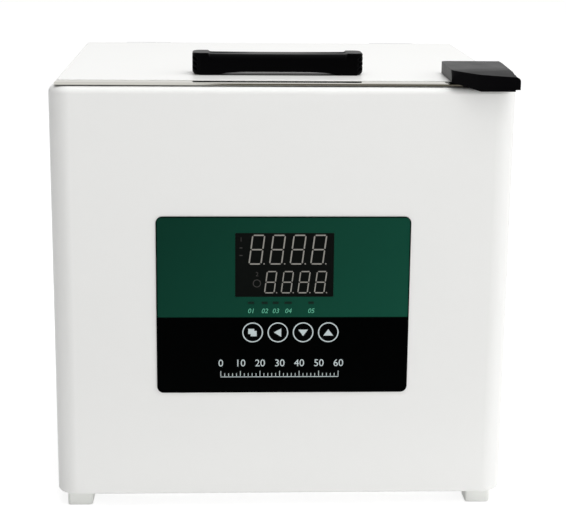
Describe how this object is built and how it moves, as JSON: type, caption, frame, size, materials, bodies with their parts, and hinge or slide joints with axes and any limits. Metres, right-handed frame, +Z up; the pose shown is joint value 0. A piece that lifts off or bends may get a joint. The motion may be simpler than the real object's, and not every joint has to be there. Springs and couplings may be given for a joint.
{
  "type": "benchtop incubator",
  "caption": "Small white benchtop incubator with a rear-hinged insulated lid, bow handle, sliding corner latch and a front control panel with display and keys.",
  "frame": {"origin": "centre of the bounding box, at the feet's undersides", "axes": "+Z up, +Y towards the rear (the hinges), +X to the right seen from the front"},
  "size_m": [0.34, 0.3134, 0.3424],
  "materials": {
    "white_paint": "white powder coat with a soft sheen",
    "polished_steel": "polished, slightly warm",
    "stainless": "plain sheet finish",
    "mouth_plastic": "matt moulded plastic",
    "foam": "rigid foam",
    "amber_film": "silicone heating film",
    "black_rubber": "matt rubber",
    "grey_rubber": "pale matt rubber",
    "overlay_film": "printed film, dark green over black",
    "smoked_lens": "dark smoked window",
    "key_film": "printed round keys",
    "board_green": "circuit board",
    "relay_case": "moulded relay case",
    "black_plastic": "black moulded plastic, satin"
  },
  "bodies": {
    "cabinet": {"outer_shell": "white_paint", "rear_cover": "white_paint", "base_plate": "stainless", "chamber_tub": "stainless", "mouth_frame": "mouth_plastic", "insulation_floor": "foam", "insulation_front": "foam", "insulation_rear": "foam", "insulation_left": "foam", "insulation_right": "foam", "heater_band": "amber_film", "temperature_probe": "stainless", "probe_grommet": "black_rubber", "overheat_cutout": "black_plastic", "perforated_shelf": "stainless", "control_overlay": "overlay_film", "display_lens": "smoked_lens", "control_bezel": "black_plastic", "control_case": "black_plastic", "display_module": "black_plastic", "control_board": "board_green", "power_board": "board_green", "heater_relay": "relay_case", "key_switch_1": "black_plastic", "key_switch_2": "black_plastic", "key_switch_3": "black_plastic", "key_switch_4": "black_plastic", "power_inlet": "black_plastic", "fuse_holder": "black_plastic", "rocker_frame": "black_plastic", "foot_front_left": "grey_rubber", "foot_front_right": "grey_rubber", "foot_rear_left": "grey_rubber", "foot_rear_right": "grey_rubber", "hinge_body_leaf_left": "stainless", "hinge_body_leaf_right": "stainless", "hinge_pin_left": "stainless", "hinge_pin_right": "stainless", "latch_keeper": "stainless"},
    "lid": {"lid_panel": "white_paint", "lid_trim": "polished_steel", "lid_pan": "stainless", "lid_insulation": "foam", "lid_gasket": "black_rubber", "lid_handle": "black_plastic", "handle_screw_left": "stainless", "handle_screw_right": "stainless", "hinge_lid_leaf_left": "stainless", "hinge_lid_leaf_right": "stainless", "latch_rail": "black_plastic"},
    "latch": {"latch_cap": "black_plastic", "latch_hook": "stainless"},
    "menu_key": {"key_1": "key_film"},
    "shift_key": {"key_2": "key_film"},
    "down_key": {"key_3": "key_film"},
    "up_key": {"key_4": "key_film"},
    "rocker": {"rocker_paddle": "black_plastic"}
  },
  "joints": [
    {"name": "lid_hinge", "type": "hinge", "parent": "cabinet", "child": "lid", "pos_m": [0, 0.15415, 0.3227], "axis": [-1, 0, 0], "range_deg": [0, 100]},
    {"name": "latch_slide", "type": "slide", "parent": "lid", "child": "latch", "axis": [0, 1, 0], "range_m": [0, 0.0055]},
    {"name": "menu_press", "type": "slide", "parent": "cabinet", "child": "menu_key", "axis": [0, 1, 0], "range_m": [0, 0.0006], "stiffness_N_per_m": 600},
    {"name": "shift_press", "type": "slide", "parent": "cabinet", "child": "shift_key", "axis": [0, 1, 0], "range_m": [0, 0.0006], "stiffness_N_per_m": 600},
    {"name": "down_press", "type": "slide", "parent": "cabinet", "child": "down_key", "axis": [0, 1, 0], "range_m": [0, 0.0006], "stiffness_N_per_m": 600},
    {"name": "up_press", "type": "slide", "parent": "cabinet", "child": "up_key", "axis": [0, 1, 0], "range_m": [0, 0.0006], "stiffness_N_per_m": 600},
    {"name": "rocker_tip", "type": "hinge", "parent": "cabinet", "child": "rocker", "pos_m": [0.045, 0.15055, 0.0875], "axis": [-1, 0, 0], "range_deg": [0, 16]}
  ]
}
